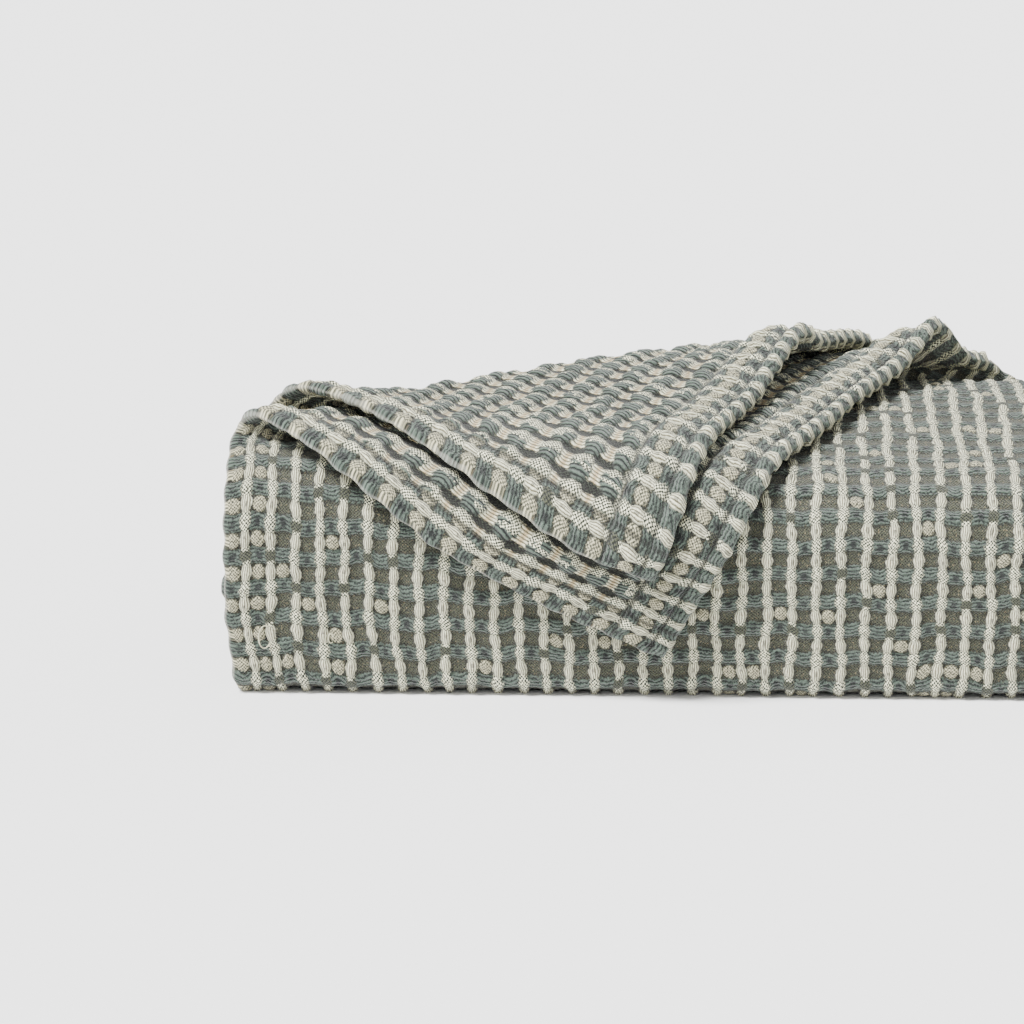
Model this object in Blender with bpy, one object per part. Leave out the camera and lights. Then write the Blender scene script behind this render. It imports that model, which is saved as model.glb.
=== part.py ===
"""A waffle weave cotton blanket, folded back and forth into a stack, with the corner of its two top
plies turned back over the front. It is one cloth, so it is one solid.

Metres, +Z up. The front of the stack faces -Y, and the blanket rests on z = 0.

A point of the cloth is known by x, its place across the cloth, and by q, its place along it.
On the two top plies q is the distance back from the middle of the rounded top front edge."""

import math
from collections import namedtuple

import bmesh
import bpy

# Driving sizes
CLOTH_W = 0.400        # across the folded cloth, along X
STACK_D = 0.250        # from the front wall to the back folds, along Y
CLOTH_T = 0.004        # thickness of the puckered weave
PITCH = 0.007          # from the middle of one ply to the middle of the next
TOP_Z = 0.093          # middle of the upper top ply, before the stack is crowned
SHOULDER_R = 0.028     # rounded top front edge
FOOT_R = 0.008         # rounded bottom front edge

# The turned-back corner
CREASE_ANGLE = math.radians(31.0)   # of the inner crease from X, in plan
CREASE_Q = 0.009       # where the crease meets the left hem
TOP_L = 0.195          # from the middle of the rounded edge back to the end hem of the outer wrap
OUTER_TURN = math.radians(2.2)      # the outer crease is turned this much more
OUTER_SLIDE = 0.005    # the inner top ply has slid this much to the right
OUTER_L = 0.197        # its TOP_L
FLAP_GAP = 0.0075      # from the middle of one flap ply to the middle of the next
LOOP_R = FLAP_GAP / 2  # inner crease loop, along most of the crease
LOOP_LEFT = 0.0030     # how much looser the loop is at the left hem
OUTER_LEFT = 0.0018    # and the outer loop is looser still
LOOP_RIGHT = 0.0015    # how much looser the loop is at the right end
LOOP_LEFT_L = 0.080
LOOP_RIGHT_FROM = 0.180
LOOP_RIGHT_TO = 0.270
SETTLE_L = 0.070       # distance in which a loose loop settles to FLAP_GAP
EDGE_EASE = 0.0025     # how much further the flap stands off the rounded edge
EASE_L = 0.030

# Ripples in the end hem of the flap. b is measured along that hem from the tip of the lower ply.
RIPPLES = (
    # ply, at b, height, steepness towards the tip, steepness away from it, reach inwards
    ("lower", 0.236, 0.0150, 0.024, 0.030, 0.060),
    ("upper", 0.170, 0.0120, 0.034, 0.021, 0.075),
)
RIPPLE_ROOM = 0.025    # a ripple dies out this near the crease

# Crown of the stack: the plies are pressed together most along the front and back edges
CROWN = (
    # depth behind the front wall, share of the full height at the right, share at the left
    (0.000, 0.84, 0.94),
    (0.018, 0.84, 0.94),
    (0.046, 0.89, 0.95),
    (0.080, 0.97, 0.96),
    (0.115, 1.01, 0.98),
    (0.150, 1.00, 0.97),
    (0.190, 0.93, 0.93),
    (0.236, 0.84, 0.88),
)
PROP_FROM = -0.060     # place across the cloth where the right share gives way to the left one
PROP_TO = -0.190
WALL_BULGE = 0.0030    # the front wall stands out at half its height
FOOT_TUCK = 0.0030     # the left and right edges draw in at the foot
TUCK_H = 0.035

# The inner plies, from the lowest up: how far the fold that ends each one, and that turns up into
# the next, stands in from the stack's outline, and how far the ply has slid to the right.
PLIES = (
    # fold_in, slide
    (0.000, 0.0015),
    (0.001, 0.0030),
    (0.004, 0.0020),
    (0.000, -0.0010),
    (0.002, -0.0025),
    (0.001, -0.0015),
    (0.005, 0.0010),
    (0.000, 0.0030),
    (0.020, 0.0035),
    (0.003, 0.0015),
    (0.004, 0.0040),
)

# Mesh density
COLUMN_W = 0.025       # across the turned-back corner
WIDE_COLUMNS = 2       # to the right of it
TOP_ROWS = 7
LOOP_ROWS = 5
FLAP_ROWS = 12
ARC_ROWS = 4
WALL_ROWS = 3
FOLD_ROWS = 4
TOP_ROW_POWER = 1.5    # rows are closer together near the rounded edge
ROW_ROOM = 0.012       # least distance from a fold to the next row of a flat ply
MERGE = 0.00002

# Lines worked out from the sizes above
FRONT_Y = -STACK_D / 2 + CLOTH_T / 2
BACK_Y = STACK_D / 2 - CLOTH_T / 2
BOTTOM_Z = CLOTH_T / 2
HALF_ARC = SHOULDER_R * math.pi / 4
LEFT_X = -CLOTH_W / 2
FOLD_R = PITCH / 2


# The two top plies, named by where their flaps lie: the outer wrap turns into the lower flap.
# base is the height of a ply's middle over the wrap's, and wider is added to its crease loop.
Ply = namedtuple("Ply", "name angle base wider left_slack end_q")
LOWER = Ply("lower", CREASE_ANGLE, 0.0, 0.0, LOOP_LEFT, TOP_L)
UPPER = Ply(
    "upper", CREASE_ANGLE + OUTER_TURN, -PITCH, (PITCH + FLAP_GAP) / 2, LOOP_LEFT + OUTER_LEFT, OUTER_L
)


def smooth(value):
    """0 below 0, 1 above 1, and an easy curve between."""
    t = min(max(value, 0.0), 1.0)
    return t * t * (3 - 2 * t)


# ---- the wrap: the upper top ply, the front wall and what lies on them ----

def wrap_point(q, lift):
    """(y, z) of a point on the outer wrap, lifted off it by lift."""
    if q >= HALF_ARC:
        return FRONT_Y + SHOULDER_R + q - HALF_ARC, TOP_Z + lift
    if q >= -HALF_ARC:
        angle = (HALF_ARC - q) / SHOULDER_R
        y = FRONT_Y + SHOULDER_R - (SHOULDER_R + lift) * math.sin(angle)
        z = TOP_Z - SHOULDER_R + (SHOULDER_R + lift) * math.cos(angle)
        return y, z
    return FRONT_Y - lift, TOP_Z - SHOULDER_R + q + HALF_ARC


def loop_radius(ply, along):
    """Radius of a ply's crease loop, at a distance along the crease from the left hem."""
    left = ply.left_slack * (1 - smooth(along / LOOP_LEFT_L))
    right = smooth((along - LOOP_RIGHT_FROM) / (LOOP_RIGHT_TO - LOOP_RIGHT_FROM))
    return LOOP_R + ply.wider + left + LOOP_RIGHT * right


def crease_place(ply, x, q):
    """(along, beyond): a point's place along a ply's crease, and how far behind it the point is."""
    dx = x - LEFT_X
    dq = q - CREASE_Q
    along = dx * math.cos(ply.angle) + dq * math.sin(ply.angle)
    beyond = dq * math.cos(ply.angle) - dx * math.sin(ply.angle)
    return along, beyond


def from_crease(ply, along, beyond):
    """(x, q) of a place given by crease_place."""
    x = LEFT_X + along * math.cos(ply.angle) - beyond * math.sin(ply.angle)
    q = CREASE_Q + along * math.sin(ply.angle) + beyond * math.cos(ply.angle)
    return x, q


def ripple_lift(ply, x, q):
    """How far the ripples of one ply lift it at a place in plan."""
    tip_along, tip_beyond = crease_place(LOWER, LEFT_X, LOWER.end_q)
    tip_x, tip_q = from_crease(LOWER, tip_along, math.pi * LOOP_R - tip_beyond)
    hem = 2 * LOWER.angle
    b = (x - tip_x) * math.cos(hem) + (q - tip_q) * math.sin(hem)
    a = (q - tip_q) * math.cos(hem) - (x - tip_x) * math.sin(hem)
    in_front = -crease_place(LOWER, x, q)[1]
    total = 0.0
    for name, at, height, rise, fall, reach in RIPPLES:
        if name != ply.name:
            continue
        width = rise if b < at else fall
        total += height * math.exp(-((b - at) / width) ** 2 - (max(a, 0) / reach) ** 2)
    return total * smooth(in_front / RIPPLE_ROOM)


def flap_lift(ply, x, q):
    """How high a flap ply lies above the top ply, at a place in plan."""
    along, beyond = crease_place(LOWER, x, q)
    settle = math.exp(min(beyond, 0) / SETTLE_L)
    inner = 2 * loop_radius(LOWER, along)
    lift = FLAP_GAP + (inner - FLAP_GAP) * settle + ripple_lift(LOWER, x, q)
    lift += EDGE_EASE * math.exp(-(q / EASE_L) ** 2) * (1 - settle)
    if ply is UPPER:
        above = 2 * loop_radius(UPPER, along) - PITCH - inner
        lift += FLAP_GAP + (above - FLAP_GAP) * settle + ripple_lift(UPPER, x, q)
    return lift


def top_point(ply, x, q):
    """A point of a top ply, or of the flap that it turns into."""
    along, beyond = crease_place(ply, x, q)
    if beyond <= 0:
        return x, *wrap_point(q, ply.base)
    radius = loop_radius(ply, along)
    if beyond < math.pi * radius:
        turn = beyond / radius
        plan_x, plan_q = from_crease(ply, along, radius * math.sin(turn))
        return plan_x, *wrap_point(plan_q, ply.base + radius * (1 - math.cos(turn)))
    plan_x, plan_q = from_crease(ply, along, math.pi * radius - beyond)
    return plan_x, *wrap_point(plan_q, flap_lift(ply, plan_x, plan_q))


# ---- the crown and the bulge, which bend the whole stack ----

def crown_share(x, depth):
    """The share of its full height that the stack has at a place."""
    left_part = smooth((x - PROP_FROM) / (PROP_TO - PROP_FROM))
    for near, far in zip(CROWN, CROWN[1:]):
        if depth < far[0] or far is CROWN[-1]:
            t = min(max((depth - near[0]) / (far[0] - near[0]), 0), 1)
            right = near[1] + (far[1] - near[1]) * t
            left = near[2] + (far[2] - near[2]) * t
            return right + (left - right) * left_part
    return 1.0


def uneven(x, y, z):
    """Where a point of the straight stack lies once the stack is crowned, bulged and tucked in."""
    depth = y - FRONT_Y
    high = BOTTOM_Z + (z - BOTTOM_Z) * crown_share(x, depth)
    bulge = WALL_BULGE * math.sin(math.pi * min(max(high / TOP_Z, 0), 1))
    tuck = FOOT_TUCK * (1 - smooth(high / TUCK_H))
    y -= bulge * (1 - smooth(depth / STACK_D * 2))
    return x * (1 - 2 * tuck / CLOTH_W), y, high


# ---- the rest of the ribbon, as one line of (y, z, slide) from the front wall to the inner top ply ----

def arc(centre_y, centre_z, radius, start, end, rows):
    """Points after the first of an arc, by its angles from +Y towards +Z."""
    points = []
    for i in range(1, rows + 1):
        angle = start + (end - start) * i / rows
        points.append((centre_y + radius * math.cos(angle), centre_z + radius * math.sin(angle)))
    return points


def straight(start, end, rows):
    """Points after the first of a straight line."""
    points = []
    for i in range(1, rows + 1):
        t = i / rows
        points.append((start[0] + (end[0] - start[0]) * t, start[1] + (end[1] - start[1]) * t))
    return points


def flat(from_y, to_y, z):
    """Points after the first of a flat ply, whose rows lie where the crown bends."""
    low = min(from_y, to_y) + ROW_ROOM
    high = max(from_y, to_y) - ROW_ROOM
    rows = [FRONT_Y + depth for depth, _, _ in CROWN if low < FRONT_Y + depth < high]
    if to_y < from_y:
        rows.reverse()
    return [(y, z) for y in rows + [to_y]]


def body_line():
    """From the middle of the rounded edge, down the front wall, under the stack, up through the
    inner plies and round to the middle of the rounded edge again, one ply lower."""
    line = []

    def add(points, slide):
        for y, z in points:
            line.append((y, z, slide))

    for i in range(1, ARC_ROWS + 1):
        add([wrap_point(-HALF_ARC * i / ARC_ROWS, 0.0)], 0.0)
    foot_z = BOTTOM_Z + FOOT_R
    foot_y = FRONT_Y + FOOT_R
    add(straight(wrap_point(-HALF_ARC, 0.0), (FRONT_Y, foot_z), WALL_ROWS), 0.0)
    add(arc(foot_y, foot_z, FOOT_R, math.pi, 1.5 * math.pi, ARC_ROWS), 0.0)
    low_z = BOTTOM_Z
    from_y = foot_y
    fold_y = BACK_Y - FOLD_R
    add(flat(from_y, fold_y, low_z), 0.0)
    backwards = True
    for fold_in, slide in PLIES:
        turn = math.pi if backwards else -math.pi
        start = -math.pi / 2 if backwards else 1.5 * math.pi
        add(arc(fold_y, low_z + FOLD_R, FOLD_R, start, start + turn, FOLD_ROWS), slide)
        low_z += PITCH
        from_y = fold_y
        backwards = not backwards
        fold_y = BACK_Y - FOLD_R - fold_in if backwards else FRONT_Y + PITCH + FOLD_R + fold_in
        if low_z < TOP_Z - 2.5 * PITCH:
            add(flat(from_y, fold_y, low_z), slide)
    # The highest inner ply and the inner top ply keep under the rounded edge, and meet in its middle.
    centre_y = FRONT_Y + SHOULDER_R
    centre_z = TOP_Z - SHOULDER_R
    add(flat(from_y, centre_y, low_z), slide)
    radius = SHOULDER_R - 2 * PITCH
    add(arc(centre_y, centre_z, radius, math.pi / 2, 0.75 * math.pi, ARC_ROWS - 1), slide)
    radius = SHOULDER_R - 1.5 * PITCH
    turn_y = centre_y + radius * math.cos(0.75 * math.pi)
    turn_z = centre_z + radius * math.sin(0.75 * math.pi)
    add(arc(turn_y, turn_z, FOLD_R, -0.25 * math.pi, -1.25 * math.pi, FOLD_ROWS), OUTER_SLIDE)
    return line


# ---- the mesh ----

def top_rows(ply, x):
    """q of each row of a top ply and its flap, from the rounded edge to the end hem. Rows that
    would pass the end hem stay on it, and are merged there."""
    crease_q = min(CREASE_Q + (x - LEFT_X) * math.tan(ply.angle), ply.end_q)
    radius = loop_radius(ply, crease_place(ply, x, crease_q)[0])
    loop_l = math.pi * radius / math.cos(ply.angle)
    rows = [crease_q * (i / TOP_ROWS) ** TOP_ROW_POWER for i in range(TOP_ROWS + 1)]
    rows += [min(crease_q + loop_l * i / LOOP_ROWS, ply.end_q) for i in range(1, LOOP_ROWS + 1)]
    flap_q = rows[-1]
    rows += [flap_q + (ply.end_q - flap_q) * i / FLAP_ROWS for i in range(1, FLAP_ROWS + 1)]
    return rows


def column_places():
    """x of each column. Some lie where a crease or its loop runs out at an end hem."""
    ends = []
    for ply, slide in ((LOWER, 0.0), (UPPER, OUTER_SLIDE)):
        loop_l = math.pi * (LOOP_R + LOOP_RIGHT + ply.wider) / math.cos(ply.angle)
        room = ply.end_q - CREASE_Q
        for used in (loop_l, loop_l / 2, 0.0):
            ends.append(LEFT_X - slide + (room - used) / math.tan(ply.angle))
    close = math.floor((min(ends) - LEFT_X) / COLUMN_W)
    step = (min(ends) - LEFT_X) / close
    places = [LEFT_X + step * j for j in range(close)] + sorted(ends)
    step = (CLOTH_W / 2 - places[-1]) / WIDE_COLUMNS
    last = places[-1]
    return places + [last + step * j for j in range(1, WIDE_COLUMNS + 1)]


def cloth_columns():
    """For each column across the cloth, its points from one end hem to the other."""
    body = body_line()
    columns = []
    for x in column_places():
        points = [top_point(LOWER, x, q) for q in reversed(top_rows(LOWER, x))]
        points += [(x + slide, y, z) for y, z, slide in body]
        slid = x + OUTER_SLIDE
        points += [top_point(UPPER, slid, q) for q in top_rows(UPPER, slid)]
        columns.append([uneven(*point) for point in points])
    return columns


def clear_scene():
    for old in list(bpy.data.objects):
        bpy.data.objects.remove(old, do_unlink=True)


def cotton():
    material = bpy.data.materials.new("sage_cotton")
    material.use_nodes = True
    shader = material.node_tree.nodes["Principled BSDF"]
    shader.inputs["Base Color"].default_value = (0.36, 0.39, 0.33, 1)
    shader.inputs["Roughness"].default_value = 0.95
    shader.inputs["Metallic"].default_value = 0.0
    return material


def waffle_blanket():
    """The whole cloth: a net of quads on its middle, given its thickness."""
    columns = cloth_columns()
    bm = bmesh.new()
    net = [[bm.verts.new(point) for point in column] for column in columns]
    for left, right in zip(net, net[1:]):
        for i in range(len(left) - 1):
            bm.faces.new((left[i], right[i], right[i + 1], left[i + 1]))
    bmesh.ops.remove_doubles(bm, verts=bm.verts, dist=MERGE)
    bmesh.ops.dissolve_degenerate(bm, edges=bm.edges, dist=MERGE)
    mesh = bpy.data.meshes.new("waffle_blanket")
    bm.to_mesh(mesh)
    bm.free()
    blanket = bpy.data.objects.new("waffle_blanket", mesh)
    bpy.context.scene.collection.objects.link(blanket)
    mesh.materials.append(cotton())
    thickness = blanket.modifiers.new("thickness", "SOLIDIFY")
    thickness.thickness = CLOTH_T
    thickness.offset = 0
    thickness.use_even_offset = False
    return blanket


def centre_over_origin(blanket):
    """Moves the net so that the box round the finished cloth is centred on the origin."""
    found = bpy.context.evaluated_depsgraph_get()
    corners = [corner[:2] for corner in blanket.evaluated_get(found).bound_box]
    middle = [(min(side) + max(side)) / 2 for side in zip(*corners)]
    for vertex in blanket.data.vertices:
        vertex.co.x -= middle[0]
        vertex.co.y -= middle[1]


clear_scene()
centre_over_origin(waffle_blanket())
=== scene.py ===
# %% [markdown]
# # A waffle weave cotton blanket, folded into a stack
# One long cloth is folded back and forth and wrapped round the front of the stack, and the corner of
# its two top plies is turned back. A simulation could fold it, but these folds are neat and known, so
# they are written as geometry. A place on the flat cloth is sent to its place on the folded cloth, the
# weave is raised out of that surface as real relief, and the colours follow the same weave.

import math
from collections import namedtuple

import bpy
import numpy as np
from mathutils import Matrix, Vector


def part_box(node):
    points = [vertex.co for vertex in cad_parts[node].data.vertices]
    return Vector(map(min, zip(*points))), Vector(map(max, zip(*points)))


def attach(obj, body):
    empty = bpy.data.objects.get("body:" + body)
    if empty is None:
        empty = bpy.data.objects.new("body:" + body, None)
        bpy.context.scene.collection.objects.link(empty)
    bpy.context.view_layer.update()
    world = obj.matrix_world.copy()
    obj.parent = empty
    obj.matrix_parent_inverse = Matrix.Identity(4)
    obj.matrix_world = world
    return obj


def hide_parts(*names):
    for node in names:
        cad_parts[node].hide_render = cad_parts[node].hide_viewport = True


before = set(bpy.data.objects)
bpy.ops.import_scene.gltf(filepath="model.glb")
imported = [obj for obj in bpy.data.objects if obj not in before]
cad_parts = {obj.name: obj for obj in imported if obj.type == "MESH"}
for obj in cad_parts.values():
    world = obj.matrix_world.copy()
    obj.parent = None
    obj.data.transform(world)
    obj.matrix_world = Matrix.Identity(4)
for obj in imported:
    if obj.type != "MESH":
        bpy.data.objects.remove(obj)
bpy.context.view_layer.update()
BLANKET = "waffle_blanket"
print("nodes:", sorted(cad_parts))

# %% [markdown]
# ## The sizes of the folded cloth
# These are the sizes the blanket was folded to. A place on the cloth is known by x, across it, and by
# its run, the distance along it from the middle of the rounded top front edge. The run grows down the
# front wall and on through the inner plies, and is negative on the outer top ply and its flap.

# %% The sizes, in metres
CLOTH_W = 0.400  # across the folded cloth
STACK_D = 0.250  # from the front wall to the back folds
CLOTH_T = 0.004  # thickness of the puckered weave
PITCH = 0.007  # from one ply to the next
TOP_Z = 0.093  # middle of the upper top ply, before the stack is crowned
SHOULDER_R = 0.028  # rounded top front edge
FOOT_R = 0.008  # rounded bottom front edge
CREASE_ANGLE = math.radians(31.0)  # of the crease to the front edge
CREASE_Q = 0.009  # where the crease meets the left hem, behind the rounded edge
TOP_L = 0.195  # length of the outer top ply with its flap
OUTER_TURN = math.radians(2.2)  # how much steeper the outer crease is
OUTER_SLIDE = 0.005  # the inner top ply lies this much further right
OUTER_L = 0.197  # and is this long
FLAP_GAP = 0.0075  # from one flap ply to the next
LOOP_R = FLAP_GAP / 2
LOOP_LEFT = 0.0030  # the loops are looser at the left hem
OUTER_LEFT = 0.0018  # and the outer one looser still
LOOP_LEFT_L = 0.080
LOOP_RIGHT = 0.0015  # and both are a little looser at the right end
LOOP_RIGHT_FROM = 0.180
LOOP_RIGHT_TO = 0.270
SETTLE_L = 0.070  # a flap comes down to the stack over this length
EDGE_EASE = 0.0025  # and stands off the rounded edge by this much
EASE_L = 0.030
RIPPLE_ROOM = 0.025  # the ripples fade out over this length before the crease
PROP_FROM = -0.060  # between these two x the stack goes over to the crown of its left end
PROP_TO = -0.190
WALL_BULGE = 0.0030  # the front wall bulges by this much
FOOT_TUCK = 0.0030  # and its foot is drawn in at the sides by this much
TUCK_H = 0.035  # up to this height

FRONT_Y = -STACK_D / 2 + CLOTH_T / 2
BACK_Y = STACK_D / 2 - CLOTH_T / 2
BOTTOM_Z = CLOTH_T / 2
HALF_ARC = SHOULDER_R * math.pi / 4
LEFT_X = -CLOTH_W / 2
RIGHT_X = CLOTH_W / 2
FOLD_R = PITCH / 2

RIPPLES = (
    # ply, at b, height, steepness towards the tip, steepness away from it, reach inwards
    ("lower", 0.236, 0.0150, 0.024, 0.030, 0.060),
    ("upper", 0.170, 0.0120, 0.034, 0.021, 0.075),
)
CROWN = np.array((
    # depth behind the front wall, share of the full height at the right, share at the left
    (0.000, 0.84, 0.94),
    (0.018, 0.84, 0.94),
    (0.046, 0.89, 0.95),
    (0.080, 0.97, 0.96),
    (0.115, 1.01, 0.98),
    (0.150, 1.00, 0.97),
    (0.190, 0.93, 0.93),
    (0.236, 0.84, 0.88),
))
PLIES = (
    # how far the fold at the ply's end is drawn in, and how far the ply has slid to the right
    (0.000, 0.0015),
    (0.001, 0.0030),
    (0.004, 0.0020),
    (0.000, -0.0010),
    (0.002, -0.0025),
    (0.001, -0.0015),
    (0.005, 0.0010),
    (0.000, 0.0030),
    (0.020, 0.0035),
    (0.003, 0.0015),
    (0.004, 0.0040),
)
_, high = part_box(BLANKET)
SHIFT = np.array((high.x - RIGHT_X - OUTER_SLIDE, high.y - STACK_D / 2, 0.0))
print("the stack is moved by", SHIFT.round(4), "so that its box is centred")

# %% [markdown]
# ## The two top plies and the turned-back corner
# Turning a corner back mirrors it across a slanting crease. A point behind the crease first rolls round
# a small loop and then lies mirrored on top, a little above the ply it came from. It is written once,
# for whole grids of points.

# %% The loops and the flap
Ply = namedtuple("Ply", "name angle base wider left_slack end_q")
LOWER = Ply("lower", CREASE_ANGLE, 0.0, 0.0, LOOP_LEFT, TOP_L)
UPPER = Ply(
    "upper", CREASE_ANGLE + OUTER_TURN, -PITCH, (PITCH + FLAP_GAP) / 2, LOOP_LEFT + OUTER_LEFT, OUTER_L
)


def smooth(value):
    """0 below 0, 1 above 1, and an easy curve between."""
    t = np.clip(value, 0.0, 1.0)
    return t * t * (3 - 2 * t)


def wrap_point(q, lift):
    """(y, z) of a place on the outer wrap, lifted off it by lift."""
    angle = np.clip((HALF_ARC - q) / SHOULDER_R, 0, math.pi / 2)
    y = FRONT_Y + SHOULDER_R - (SHOULDER_R + lift) * np.sin(angle) + np.maximum(q - HALF_ARC, 0)
    z = TOP_Z - SHOULDER_R + (SHOULDER_R + lift) * np.cos(angle) + np.minimum(q + HALF_ARC, 0)
    return y, z


def loop_radius(ply, along):
    left = ply.left_slack * (1 - smooth(along / LOOP_LEFT_L))
    right = smooth((along - LOOP_RIGHT_FROM) / (LOOP_RIGHT_TO - LOOP_RIGHT_FROM))
    return LOOP_R + ply.wider + left + LOOP_RIGHT * right


def crease_place(ply, x, q):
    """(along, beyond): how far along a crease, and how far behind it."""
    dx, dq = x - LEFT_X, q - CREASE_Q
    cos, sin = math.cos(ply.angle), math.sin(ply.angle)
    return dx * cos + dq * sin, dq * cos - dx * sin


def from_crease(ply, along, beyond):
    cos, sin = math.cos(ply.angle), math.sin(ply.angle)
    return LEFT_X + along * cos - beyond * sin, CREASE_Q + along * sin + beyond * cos


def ripple_lift(ply, x, q):
    """How far the ripples in a flap's end hem lift it."""
    tip_along, tip_beyond = crease_place(LOWER, LEFT_X, LOWER.end_q)
    tip_x, tip_q = from_crease(LOWER, tip_along, math.pi * LOOP_R - tip_beyond)
    cos, sin = math.cos(2 * LOWER.angle), math.sin(2 * LOWER.angle)
    b = (x - tip_x) * cos + (q - tip_q) * sin
    a = (q - tip_q) * cos - (x - tip_x) * sin
    total = 0.0
    for name, at, height, rise, fall, reach in RIPPLES:
        if name == ply.name:
            width = np.where(b < at, rise, fall)
            total = total + height * np.exp(-((b - at) / width) ** 2 - (np.maximum(a, 0) / reach) ** 2)
    return total * smooth(-crease_place(LOWER, x, q)[1] / RIPPLE_ROOM)


def flap_lift(ply, x, q):
    """How high a flap lies above the top ply."""
    along, beyond = crease_place(LOWER, x, q)
    settle = np.exp(np.minimum(beyond, 0) / SETTLE_L)
    inner = 2 * loop_radius(LOWER, along)
    lift = FLAP_GAP + (inner - FLAP_GAP) * settle + ripple_lift(LOWER, x, q)
    lift = lift + EDGE_EASE * np.exp(-(q / EASE_L) ** 2) * (1 - settle)
    if ply is UPPER:
        above = 2 * loop_radius(UPPER, along) - PITCH - inner
        lift = lift + FLAP_GAP + (above - FLAP_GAP) * settle + ripple_lift(UPPER, x, q)
    return lift


def top_point(ply, x, q):
    """(x, y, z) of places on a top ply: in front of its crease, round the loop, or on the flap."""
    along, beyond = crease_place(ply, x, q)
    radius = loop_radius(ply, along)
    turn = np.clip(beyond / radius, 0, math.pi)
    loop_x, loop_q = from_crease(ply, along, radius * np.sin(turn))
    flap_x, flap_q = from_crease(ply, along, math.pi * radius - beyond)
    in_loop = (beyond > 0) & (beyond < math.pi * radius)
    on_flap = beyond >= math.pi * radius
    plan_x = np.where(on_flap, flap_x, np.where(in_loop, loop_x, x))
    plan_q = np.where(on_flap, flap_q, np.where(in_loop, loop_q, q))
    loop_lift = ply.base + radius * (1 - np.cos(turn))
    lift = np.where(on_flap, flap_lift(ply, plan_x, plan_q), np.where(in_loop, loop_lift, ply.base))
    return plan_x, *wrap_point(plan_q, lift)


print("outer crease turns the corner by", round(2 * math.degrees(UPPER.angle), 1), "degrees")

# %% [markdown]
# ## The front wall, the bottom and the inner plies
# The rest of the cloth is one line seen from the side: down the front, under the stack, and up through
# the folds. It is walked once in short steps, and then any run can be looked up between two of them.

# %% The line of the folds
ARC_STEPS = 28
SMOOTH_TAPS = np.linspace(-0.012, 0.012, 5)


def fold_line():
    """Rows of (y, z, slide) from the middle of the rounded edge to the inner top ply."""
    points = []
    slid = [0.0]

    def step(y, z, slide):
        points.append((y, z, slide))

    def arc(y, z, radius, start, end, slide):
        for i in range(1, ARC_STEPS + 1):
            t = i / ARC_STEPS
            angle = start + (end - start) * t
            between = slid[0] + (slide - slid[0]) * t
            step(y + radius * math.cos(angle), z + radius * math.sin(angle), between)
        slid[0] = slide

    step(*(float(c) for c in wrap_point(0.0, 0.0)), 0.0)
    centre_y, centre_z = FRONT_Y + SHOULDER_R, TOP_Z - SHOULDER_R
    arc(centre_y, centre_z, SHOULDER_R, 0.75 * math.pi, math.pi, 0.0)
    arc(FRONT_Y + FOOT_R, BOTTOM_Z + FOOT_R, FOOT_R, math.pi, 1.5 * math.pi, 0.0)
    z, fold_y, backwards = BOTTOM_Z, BACK_Y - FOLD_R, True
    starts = []
    for fold_in, slide in PLIES:
        turn = math.pi if backwards else -math.pi
        start = -math.pi / 2 if backwards else 1.5 * math.pi
        arc(fold_y, z + FOLD_R, FOLD_R, start, start + turn, slide)
        starts.append((len(points) - 1, backwards))
        z += PITCH
        backwards = not backwards
        fold_y = BACK_Y - FOLD_R - fold_in if backwards else FRONT_Y + PITCH + FOLD_R + fold_in
    step(centre_y, z, slid[0])
    arc(centre_y, centre_z, SHOULDER_R - 2 * PITCH, math.pi / 2, 0.75 * math.pi, slid[0])
    radius = SHOULDER_R - 1.5 * PITCH
    turn_y = centre_y + radius * math.cos(0.75 * math.pi)
    turn_z = centre_z + radius * math.sin(0.75 * math.pi)
    arc(turn_y, turn_z, FOLD_R, -0.25 * math.pi, -1.25 * math.pi, OUTER_SLIDE)
    line = np.array(points)
    run = np.concatenate(([0.0], np.cumsum(np.hypot(*np.diff(line[:, :2], axis=0).T))))
    return run, line, [(run[i], back) for i, back in starts]


LINE_RUN, LINE, FOLD_ENDS = fold_line()
LINE_L = LINE_RUN[-1]
THIRD_FROM = FOLD_ENDS[-1][0] - math.pi * FOLD_R
WALL_L = HALF_ARC + (TOP_Z - SHOULDER_R - BOTTOM_Z - FOOT_R) + math.pi / 2 * FOOT_R + 0.008
print(f"the folds hold {LINE_L:.2f} m of cloth; the wall is {WALL_L * 1000:.0f} mm")

# %% [markdown]
# ## The crown
# A soft stack is never level. It is pressed together at its front and back edges, stands higher in the
# middle, and bulges a little in front, so every point is moved by the same gentle rule.

# %% The uneven stack


def crown_share(x, depth):
    left_part = smooth((x - PROP_FROM) / (PROP_TO - PROP_FROM))
    share = 0.0
    for tap in SMOOTH_TAPS:
        right = np.interp(depth + tap, CROWN[:, 0], CROWN[:, 1])
        left = np.interp(depth + tap, CROWN[:, 0], CROWN[:, 2])
        share = share + (right + (left - right) * left_part) / len(SMOOTH_TAPS)
    return share


def uneven(x, y, z):
    depth = y - FRONT_Y
    high = BOTTOM_Z + (z - BOTTOM_Z) * crown_share(x, depth)
    bulge = WALL_BULGE * np.sin(math.pi * np.clip(high / TOP_Z, 0, 1))
    tuck = FOOT_TUCK * (1 - smooth(high / TUCK_H))
    y = y - bulge * (1 - smooth(depth / STACK_D * 2))
    return np.stack((x * (1 - 2 * tuck / CLOTH_W), y, high), axis=-1) + SHIFT


def on_lower(x, run):
    return uneven(*top_point(LOWER, x, -run))


def on_upper(x, run):
    return uneven(*top_point(UPPER, x + OUTER_SLIDE, run - LINE_L))


def on_line(x, run):
    y, z, slide = (np.interp(run, LINE_RUN, LINE[:, i]) for i in range(3))
    return uneven(x + slide, y, z)


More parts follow.
